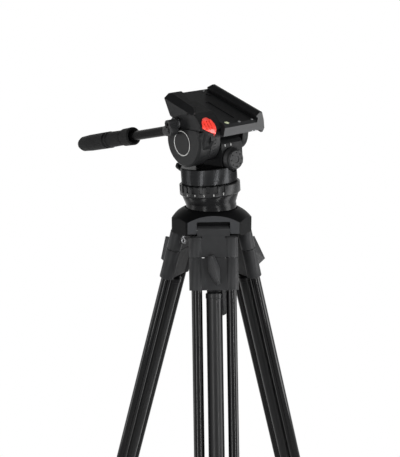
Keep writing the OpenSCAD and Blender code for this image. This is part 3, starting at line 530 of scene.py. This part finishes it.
class TripodColours(bpy.types.PropertyGroup):
    """Colours of the tripod's finishes, as linear values; the platform front's colour is a painted highlight."""

    crown: FloatVectorProperty(
        name="Crown", description="Powder coat of the crown casting",
        default=(0.0035, 0.0036, 0.0038), **PAINT)
    ball: FloatVectorProperty(
        name="Half ball", description="Gloss lacquer of the half ball",
        default=(0.003, 0.003, 0.0033), **PAINT)
    housing: FloatVectorProperty(
        name="Pan housing", description="Satin anodising of the pan housing",
        default=(0.016, 0.0163, 0.017), **PAINT)
    shell: FloatVectorProperty(
        name="Head mouldings", description="Grained plastic of the tilt housing and its parts",
        default=(0.008, 0.0082, 0.0086), **PAINT)
    cover: FloatVectorProperty(
        name="Side cover", description="Grained plastic of the round side cover",
        default=(0.007, 0.0072, 0.0075), **PAINT)
    bed: FloatVectorProperty(
        name="Platform", description="Powder coat of the platform", default=(0.008, 0.0082, 0.0086), **PAINT)
    # Painted highlight: the front bar's face gets this lighter colour for the light that falls on it.
    front: FloatVectorProperty(
        name="Platform front", description="Lighter satin face of the platform's front bar",
        default=(0.040, 0.0405, 0.0415), **PAINT)
    knob: FloatVectorProperty(
        name="Knob", description="Plastic of the counterbalance knob",
        default=(0.016, 0.0162, 0.0168), **PAINT)
    button: FloatVectorProperty(
        name="Release button", description="Red plastic of the plate release",
        default=(0.72, 0.045, 0.030), **PAINT)
    tube: FloatVectorProperty(
        name="Tubes", description="Gloss anodising of the leg tubes and the bar",
        default=(0.002, 0.002, 0.0022), **PAINT)
    slider: FloatVectorProperty(
        name="Middle tubes", description="Satin anodising of the middle tubes",
        default=(0.005, 0.0051, 0.0054), **PAINT)
    block: FloatVectorProperty(
        name="Leg blocks", description="Grained plastic of the leg blocks",
        default=(0.018, 0.0183, 0.019), **PAINT)
    lever: FloatVectorProperty(
        name="Leg levers", description="Plastic of the leaf levers", default=(0.026, 0.0264, 0.0272), **PAINT)
    grip: FloatVectorProperty(
        name="Rubber", description="Rubber of the grip and feet", default=(0.005, 0.005, 0.0052), **PAINT)
    steel: FloatVectorProperty(
        name="Steel", description="Plated steel of pins and springs", default=(0.45, 0.455, 0.46), **PAINT)
    print: FloatVectorProperty(
        name="Numbers", description="Paint of the dial numbers and the badge's ring",
        default=(0.50, 0.50, 0.49), **PAINT)
    liquid: FloatVectorProperty(
        name="Level", description="Liquid of the round level", default=(0.62, 0.68, 0.42), **PAINT)


class TripodSizes(bpy.types.PropertyGroup):
    """Sizes of the fine details."""

    number_height: FloatProperty(
        name="Number height", description="Height of the dial numbers",
        unit="LENGTH", default=0.0032, min=0.001, max=0.01)
    number_step: FloatProperty(
        name="Number spacing", description="Angle between two numbers of the pan dial",
        subtype="ANGLE", default=math.radians(18.2), min=0.05, max=1.0)
    numbers: IntProperty(
        name="Numbers", description="How many numbers the pan dial has", default=8, min=2, max=12)
    block_screw: FloatProperty(
        name="Block screw", description="Head radius of the clamping screws behind the leg blocks",
        unit="LENGTH", default=0.0035, min=0.001, max=0.01)
    bed_screw: FloatProperty(
        name="Platform screw", description="Head radius of the platform's screws",
        unit="LENGTH", default=0.0021, min=0.001, max=0.01)
    metal_round: FloatProperty(
        name="Metal rounding", description="Edge rounding of machined and cast pieces",
        unit="LENGTH", default=0.0005, min=0.0, max=0.003)
    plastic_round: FloatProperty(
        name="Plastic rounding", description="Edge rounding of mouldings",
        unit="LENGTH", default=0.0009, min=0.0, max=0.003)


class TripodStudio(bpy.types.PropertyGroup):
    """Camera and lights."""

    distance: FloatProperty(
        name="Camera distance", description="From the middle of the bowl to the camera",
        unit="LENGTH", default=1.45, min=0.5, max=5.0)
    azimuth: FloatProperty(
        name="Camera side", description="Camera's place round the tripod",
        subtype="ANGLE", default=math.radians(-4.0))
    elevation: FloatProperty(
        name="Camera height", description="Camera's angle above the bowl",
        subtype="ANGLE", default=math.radians(12.0))
    lens: FloatProperty(
        name="Lens", description="Focal length in millimetres",
        unit="CAMERA", default=77.67, min=10.0, max=300.0)
    strip_power: FloatProperty(
        name="Left strip", description="Power of the tall strip on the left", default=5.0, **POWER)
    thin_power: FloatProperty(
        name="Thin strip", description="Power of the thin strip on the right", default=5.0, **POWER)
    side_power: FloatProperty(
        name="Side lights", description="Power of the right side softbox; the left one has a quarter of it",
        default=11.0, **POWER)
    key_power: FloatProperty(
        name="Key light", description="Power of the large front softbox", default=10.0, **POWER)
    top_power: FloatProperty(
        name="Top light", description="Power of the overhead softbox", default=6.0, **POWER)
    ambient: FloatProperty(
        name="Ambient", description="Strength of the even room light", default=0.06, min=0.0, max=2.0)


def colours():
    return bpy.context.scene.tripod_colours


def sizes():
    return bpy.context.scene.tripod_sizes


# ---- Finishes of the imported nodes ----

# Metals whose colours aren't among the user's
DARK_WIRE = (0.18, 0.182, 0.186)
ZINC = (0.38, 0.385, 0.39)
ROSETTE_STEEL = (0.16, 0.162, 0.166)
BLOCK_SCREW_STEEL = (0.10, 0.101, 0.104)
BED_SCREW_STEEL = (0.34, 0.345, 0.35)


class TRIPOD_OT_finish_crown(bpy.types.Operator):
    """Finishes the crown, its pins, the half ball and the tie-down handle"""

    bl_idname = "tripod.finish_crown"
    bl_label = "Finish crown and ball"

    def execute(self, context):
        look, size = colours(), sizes()
        dress("crown", crown_finish("crown powder coat with painted light and shadow", look.crown), 1.2 * size.metal_round)
        dress("half_ball", gloss_black("half ball lacquer", look.ball), size.metal_round)
        steel = plated_steel("plated steel", look.steel, 0.28)
        for node in ("hinge_pins", "clamp_stud", "pan_spindle", "tilt_axle", "button_spring"):
            dress(node, steel)
        dress("strap_eye", plated_steel("dark plated wire", DARK_WIRE, 0.3))
        upright = placed(RIM, (1, 0, 0), (0, 0, 1))
        dress("levelling_washer", turned_metal("washer zinc", ZINC, upright, 0.35))
        handle = moulded("tie-down plastic", look.shell, 0.46, grain=1200.0)
        dress("tie_down_handle", handle, size.plastic_round)
        return {"FINISHED"}


class TRIPOD_OT_finish_pan(bpy.types.Operator):
    """Finishes the pan drag ring, the pan housing, the support and what it carries"""

    bl_idname = "tripod.finish_pan"
    bl_label = "Finish pan base"

    def execute(self, context):
        look, size = colours(), sizes()
        ring = moulded("drag ring plastic", look.shell, 0.3, grain=1700.0, depth=0.02, specular=0.15)
        dress("pan_drag_ring", ring, 0.3 * MM)
        housing = turned_metal("pan housing anodising", look.housing, PAN, 0.24, metallic=0.9)
        dress("pan_housing", housing, size.metal_round)
        paint = shade(look.shell, 0.9)
        support = moulded("support paint", paint, 0.38, grain=1500.0, depth=0.04, specular=0.06)
        dress("tilt_support", support, size.metal_round)
        dress("counterbalance_knob", moulded("knob plastic", look.knob, 0.4, grain=1300.0), 0.4 * MM)
        ring = moulded("tilt ring plastic", shade(look.knob, 0.9), 0.36, grain=1600.0, depth=0.03)
        dress("tilt_drag_ring", ring, 0.25 * MM)
        brake = moulded("brake lever plastic", look.shell, 0.42)
        for node in ("pan_brake_lever", "tilt_brake_lever"):
            dress(node, brake, size.plastic_round)
        return {"FINISHED"}


class TRIPOD_OT_finish_tilt(bpy.types.Operator):
    """Finishes the tilt housing, its cover and badge, the platform, lever, button and level"""

    bl_idname = "tripod.finish_tilt"
    bl_label = "Finish tilt head"

    def execute(self, context):
        look, size = colours(), sizes()
        shell = moulded("head moulding", look.shell, 0.4, grain=1500.0)
        dress("tilt_housing", shell, size.plastic_round)
        dress("right_arm", shell, size.plastic_round)
        dress("plate_lock_lever", shell, 1.3 * size.plastic_round)
        cover = moulded("side cover moulding", look.cover, 0.38, grain=1500.0)
        dress("side_cover", cover, size.plastic_round)
        dress("badge_ring", badge_finish("bare badge", shade(look.cover, 0.6), look.print))
        dress("platform", platform_finish("platform paint with painted highlight", look.bed, look.front), 0.6 * MM)
        dress("release_button", gloss_plastic("red button plastic", look.button), 0.4 * MM)
        dress("bubble_level", vial_finish("level vial", look.liquid))
        dress("rosette", plated_steel("toothed rosette steel", ROSETTE_STEEL, 0.34), 0.2 * MM)
        return {"FINISHED"}


class TRIPOD_OT_finish_bar(bpy.types.Operator):
    """Finishes the pan bar, its clamp, screw and grip"""

    bl_idname = "tripod.finish_bar"
    bl_label = "Finish pan bar"

    def execute(self, context):
        look = colours()
        along = BAR @ Matrix.Rotation(math.radians(-90), 4, "X")
        dress("bar_clamp", PowderCoat("bar clamp paint", shade(look.knob, 1.1), 0.34).material, 0.6 * MM)
        dress("bar_screw", moulded("bar screw plastic", look.shell, 0.42), 0.3 * MM)
        dress("pan_bar", drawn_tube("bar anodising", look.tube, along, 0.24, specular=0.05))
        dress("grip", rubber("grip rubber", look.grip, pebble=1300.0, depth=0.10, roughness=0.5))
        return {"FINISHED"}


class TRIPOD_OT_finish_legs(bpy.types.Operator):
    """Finishes the blocks, levers, tubes, collars and feet of the three legs"""

    bl_idname = "tripod.finish_legs"
    bl_label = "Finish legs"

    def execute(self, context):
        look, size = colours(), sizes()
        block = moulded("leg block plastic", look.block, 0.42, grain=1300.0)
        lever = moulded("leaf lever plastic", look.lever, 0.4, grain=1200.0)
        collar = moulded("twist collar rubberised plastic", look.shell, 0.5, grain=1100.0)
        foot = rubber("foot rubber", look.grip, pebble=900.0, depth=0.15, roughness=0.62)
        for leg in LEGS:
            tube = drawn_tube("leg tube anodising " + leg, look.tube, leg_frame(leg), 0.1, specular=0.17)
            slider = satin_tube("middle tube anodising " + leg, look.slider, leg_frame(leg))
            for node in ("hinge_block_", "clamp_block_", "lower_yoke_"):
                dress(node + leg, block, size.plastic_round)
            for node in ("block_lever_", "yoke_lever_"):
                dress(node + leg, lever, 0.7 * size.plastic_round)
            dress("outer_tubes_" + leg, tube)
            dress("middle_tube_" + leg, slider)
            dress("lower_tube_" + leg, tube)
            dress("twist_collar_" + leg, collar, 0.3 * MM)
            dress("foot_" + leg, foot)
        return {"FINISHED"}


# ---- Fine pieces ----

DIGIT_SHARE = 0.7                      # height of a digit, as a share of the font's size
PRINT_DEPTH = 0.12 * MM
DIAL_LIFT, BALANCE_LIFT = 0.02 * MM, 0.03 * MM      # of the numbers' middles, off the faces they stand on
FIRST_NUMBER = math.radians(127.8)     # where the pan dial's 0 stands, from X round the pan axis
DIAL_HEIGHT = 25.2 * MM                # of the pan dial's numbers, above the rim
BALANCE_HEIGHT = 91.6 * MM             # of the balance numbers, above the rim
BALANCE_NUMBERS = (("0", 7 * MM), ("5", 18 * MM))   # each with its place along the tilt axis
BLOCK_SCREW_PLACE = Vector((11, 8.5, -27)) * MM     # in the leg's frame, with a second one at -X
BLOCK_SCREW_HEIGHT = 1.8 * MM
BED_SCREWS = ((22.5, -37.2), (47.0, -37.2), (45.0, 71.5), (-2.0, 71.5))   # in mm, across and back
BED_SCREW_HEIGHT = 0.5 * MM
FRONT_SPOTS = ((47.5, 20.5), (54.0, 20.5))          # in mm, across the front face and above the tilt axis
FRONT_SPOT_HEIGHT = 0.4 * MM


def number(text, height, place, material):
    """One raised painted numeral; place maps its X to the right, Y up and Z out of the surface."""
    clear_selection()
    bpy.ops.object.text_add(location=(0, 0, 0))
    figure = bpy.context.object
    figure.data.body = text
    figure.data.size = height / DIGIT_SHARE
    figure.data.extrude = PRINT_DEPTH
    figure.data.align_x = "CENTER"
    figure.data.align_y = "CENTER"
    bpy.ops.object.convert(target="MESH")
    figure = bpy.context.object
    figure.data.materials.append(material)
    figure.matrix_world = place
    bpy.ops.object.transform_apply(location=True, rotation=True, scale=True)
    return figure


class TRIPOD_OT_pan_numbers(bpy.types.Operator):
    """Puts the painted numbers round the pan drag ring, below its grip ribs"""

    bl_idname = "tripod.pan_numbers"
    bl_label = "Add pan dial numbers"

    def execute(self, context):
        size = sizes()
        figures = []
        for index in range(size.numbers):
            turn = FIRST_NUMBER + index * size.number_step
            out = Vector((math.cos(turn), math.sin(turn), 0))
            origin = out * (RING_RADIUS + DIAL_LIFT) + Vector((0, 0, DIAL_HEIGHT))
            spot = placed(origin, Vector((0, 0, 1)).cross(out), out)
            figures.append(number(str(index), size.number_height, PAN @ spot, number_paint()))
        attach(joined(figures, "pan_dial_numbers"), "pan_drag")
        return {"FINISHED"}


class TRIPOD_OT_balance_numbers(bpy.types.Operator):
    """Puts the painted numbers over the counterbalance knob"""

    bl_idname = "tripod.balance_numbers"
    bl_label = "Add balance numbers"

    def execute(self, context):
        figures = []
        for text, across in BALANCE_NUMBERS:
            spot = placed((across, -SUPPORT_FRONT - BALANCE_LIFT, BALANCE_HEIGHT), (1, 0, 0), (0, -1, 0))
            figures.append(number(text, sizes().number_height, PAN @ spot, number_paint()))
        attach(joined(figures, "balance_numbers"), "pan")
        return {"FINISHED"}


def socket_screw(radius, height, place, body, material):
    """A screw with a rounded head and a round socket, standing on the XY plane of its place."""
    clear_selection()
    bpy.ops.mesh.primitive_cylinder_add(vertices=24, radius=radius, depth=height, location=(0, 0, height / 2))
    screw = new_piece("screw")
    shape(screw, lambda centre, normal: normal.z > 0.9,
          lambda: bpy.ops.mesh.inset(thickness=radius * 0.12, depth=0.0),
          lambda: bpy.ops.mesh.inset(thickness=radius * 0.34, depth=0.0),
          lambda: bpy.ops.mesh.extrude_region_move(TRANSFORM_OT_translate={"value": (0, 0, -height * 0.6)}),
          lambda: bpy.ops.mesh.inset(thickness=radius * 0.12, depth=-height * 0.1))
    screw.data.materials.append(material)
    return finish_shape(screw, place, body, bevel=radius * 0.08)


class TRIPOD_OT_block_screws(bpy.types.Operator):
    """Adds the screws that clamp the tubes, behind each leg's hinge block"""

    bl_idname = "tripod.block_screws"
    bl_label = "Add block screws"

    def execute(self, context):
        steel = plated_steel("screw steel", BLOCK_SCREW_STEEL, 0.32)
        radius = sizes().block_screw
        for leg in LEGS:
            screws = []
            for side in (-1, 1):
                seat = placed(BLOCK_SCREW_PLACE * Vector((side, 1, 1)), (-1, 0, 0), (0, 1, 0))
                place = leg_frame(leg) @ seat
                screws.append(socket_screw(radius, BLOCK_SCREW_HEIGHT, place, "leg_" + leg, steel))
            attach(joined(screws, "block_screws_" + leg), "leg_" + leg)
        return {"FINISHED"}


class TRIPOD_OT_platform_screws(bpy.types.Operator):
    """Adds the small screws on the platform's bed and front bar"""

    bl_idname = "tripod.platform_screws"
    bl_label = "Add platform screws"

    def execute(self, context):
        steel = plated_steel("platform screw steel", BED_SCREW_STEEL, 0.3)
        radius = sizes().bed_screw
        screws = []
        for across, back in BED_SCREWS:
            seat = placed((across * MM, back * MM, BED_TOP), (1, 0, 0), (0, 0, 1))
            screws.append(socket_screw(radius, BED_SCREW_HEIGHT, TILT @ seat, "tilt", steel))
        for across, up in FRONT_SPOTS:
            seat = placed((across * MM, -PLATFORM_FRONT, up * MM), (1, 0, 0), (0, -1, 0))
            screws.append(socket_screw(0.6 * radius, FRONT_SPOT_HEIGHT, TILT @ seat, "tilt", steel))
        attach(joined(screws, "platform_screws"), "tilt")
        return {"FINISHED"}


# ---- Studio ----

FLOOR_SIZE = 60.0
FLOOR_TONE = (0.86, 0.86, 0.86)
FLOOR_FADE = (0.32, 0.62)           # the floor turns to white between these two distances
BACKDROP_RADIUS, BACKDROP_HEIGHT = 28.0, 15.0
LAMP_HEIGHT = 0.60                  # of the upright softboxes' middles and of what all lamps aim at
STRIP_LENGTH = 1.1                  # of the upright softboxes
VIEW_TURN = math.radians(-3.33)     # the camera's heading
VIEW_FALL = math.radians(13.28)     # how far the camera looks down


def pale_surface(name, tone, start, end):
    """Matt pale floor that keeps shadows near the tripod and fades into an even white further out."""
    finish = Finish(name, 0.9, specular=0.1)
    finish.colour(finish.tinted(finish.noise(3.0, 4.0), tone, 0.985, 1.0))
    tree = finish.tree
    flat = finish.add("ShaderNodeVectorMath", operation="MULTIPLY")
    flat.inputs[1].default_value = (1, 1, 0)
    finish.link(finish.object, flat.inputs[0])
    length = finish.add("ShaderNodeVectorMath", operation="LENGTH")
    finish.link(flat.outputs[0], length.inputs[0])
    far = finish.ranged(length.outputs["Value"], 0.0, 1.0, start, end)
    white = finish.add("ShaderNodeEmission")
    white.inputs["Color"].default_value = (1, 1, 1, 1)
    white.inputs["Strength"].default_value = 1.0
    mix = finish.add("ShaderNodeMixShader")
    finish.link(finish.maths("MULTIPLY", far, background_ray(tree)), mix.inputs[0])
    finish.link(finish.shader.outputs[0], mix.inputs[1])
    finish.link(white.outputs[0], mix.inputs[2])
    finish.link(mix.outputs[0], tree.nodes["Material Output"].inputs["Surface"])
    return finish.material


def lit_paper(name, ambient):
    """White paper round the studio, which shows white and lights the room no more than its ambient does."""
    material = bpy.data.materials.new(name)
    material.use_nodes = True
    tree = material.node_tree
    tree.nodes.clear()
    glow = tree.nodes.new("ShaderNodeEmission")
    level = tree.nodes.new("ShaderNodeMapRange")
    tree.links.new(background_ray(tree), level.inputs["Value"])
    level.inputs["To Min"].default_value = ambient
    level.inputs["To Max"].default_value = 1.0
    tree.links.new(level.outputs["Result"], glow.inputs["Strength"])
    output = tree.nodes.new("ShaderNodeOutputMaterial")
    tree.links.new(glow.outputs["Emission"], output.inputs["Surface"])
    return material


def softbox(name, place, width, height, power):
    """A rectangular lamp that faces the middle of the tripod."""
    clear_selection()
    bpy.ops.object.light_add(type="AREA", location=place)
    lamp = bpy.context.object
    lamp.name = name
    lamp.data.shape = "RECTANGLE"
    lamp.data.size = width
    lamp.data.size_y = height
    lamp.data.energy = power
    lamp.rotation_euler = (Vector((0, 0, LAMP_HEIGHT)) - Vector(place)).to_track_quat("-Z", "Y").to_euler()


def outward(turn, rise):
    """Direction from the tripod to a place this far round it and above it."""
    return Vector((math.sin(turn) * math.cos(rise), -math.cos(turn) * math.cos(rise), math.sin(rise)))


class TRIPOD_OT_studio(bpy.types.Operator):
    """Builds the pale floor, the backdrop, the soft lights and the camera"""

    bl_idname = "tripod.studio"
    bl_label = "Build studio"

    def execute(self, context):
        studio = context.scene.tripod_studio
        clear_selection()
        bpy.ops.mesh.primitive_plane_add(size=FLOOR_SIZE, location=(0, 0, 0))
        floor = new_piece("floor")
        floor.data.materials.append(pale_surface("pale floor", FLOOR_TONE, *FLOOR_FADE))

        clear_selection()
        bpy.ops.mesh.primitive_cylinder_add(
            vertices=96, radius=BACKDROP_RADIUS, depth=BACKDROP_HEIGHT, end_fill_type="NOTHING",
            location=(0, 0, BACKDROP_HEIGHT / 2))
        backdrop = new_piece("backdrop")
        backdrop.data.materials.append(lit_paper("backdrop paper", studio.ambient))

        world = bpy.data.worlds.new("studio air")
        context.scene.world = world
        world.use_nodes = True
        background = world.node_tree.nodes["Background"]
        background.inputs["Color"].default_value = (1, 1, 1, 1)
        background.inputs["Strength"].default_value = studio.ambient

        for name, place, width, height, power in (
                ("strip left", (-0.45, -0.69, LAMP_HEIGHT), 0.10, STRIP_LENGTH, studio.strip_power),
                ("thin strip", (0.40, -0.72, LAMP_HEIGHT), 0.04, STRIP_LENGTH, studio.thin_power),
                ("side left", (-0.90, 0.10, LAMP_HEIGHT), 0.14, STRIP_LENGTH, 0.25 * studio.side_power),
                ("side right", (0.86, -0.19, LAMP_HEIGHT), 0.40, STRIP_LENGTH, studio.side_power),
                ("key", (-0.35, -1.9, 1.60), 1.0, 0.9, studio.key_power),
                ("top", (0.15, 0.25, 2.3), 1.4, 1.4, studio.top_power)):
            softbox(name, place, width, height, power)

        clear_selection()
        bpy.ops.object.camera_add()
        camera = context.object
        camera.name = "camera"
        camera.location = RIM + studio.distance * outward(studio.azimuth, studio.elevation)
        camera.rotation_euler = (-outward(VIEW_TURN, VIEW_FALL)).to_track_quat("-Z", "Y").to_euler()
        camera.data.lens = studio.lens
        camera.data.sensor_width = 36.0
        camera.data.clip_start, camera.data.clip_end = 0.05, 100.0
        context.scene.camera = camera
        context.scene.view_settings.view_transform = "Standard"
        return {"FINISHED"}


class TRIPOD_PT_panel(bpy.types.Panel):
    """Lists the tripod's finishes, fine pieces and studio"""

    bl_idname = "TRIPOD_PT_panel"
    bl_label = "Fluid head tripod"
    bl_space_type = "VIEW_3D"
    bl_region_type = "UI"
    bl_category = "Tripod"

    def draw(self, context):
        layout = self.layout
        for operator in OPERATORS:
            layout.operator(operator.bl_idname)
        for group in (context.scene.tripod_colours, context.scene.tripod_sizes, context.scene.tripod_studio):
            box = layout.box()
            for key in group.__annotations__:
                box.prop(group, key)


OPERATORS = (
    TRIPOD_OT_finish_crown,
    TRIPOD_OT_finish_pan,
    TRIPOD_OT_finish_tilt,
    TRIPOD_OT_finish_bar,
    TRIPOD_OT_finish_legs,
    TRIPOD_OT_pan_numbers,
    TRIPOD_OT_balance_numbers,
    TRIPOD_OT_block_screws,
    TRIPOD_OT_platform_screws,
    TRIPOD_OT_studio,
)
CLASSES = (TripodColours, TripodSizes, TripodStudio) + OPERATORS + (TRIPOD_PT_panel,)


def register():
    for item in CLASSES:
        bpy.utils.register_class(item)
    bpy.types.Scene.tripod_colours = PointerProperty(type=TripodColours)
    bpy.types.Scene.tripod_sizes = PointerProperty(type=TripodSizes)
    bpy.types.Scene.tripod_studio = PointerProperty(type=TripodStudio)


def unregister():
    del bpy.types.Scene.tripod_studio
    del bpy.types.Scene.tripod_sizes
    del bpy.types.Scene.tripod_colours
    for item in reversed(CLASSES):
        bpy.utils.unregister_class(item)


def main():
    """Dresses the tripod."""
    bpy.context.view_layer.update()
    register()
    for operator in OPERATORS:
        group, name = operator.bl_idname.split(".")
        getattr(getattr(bpy.ops, group), name)()


if __name__ == "__main__":
    main()
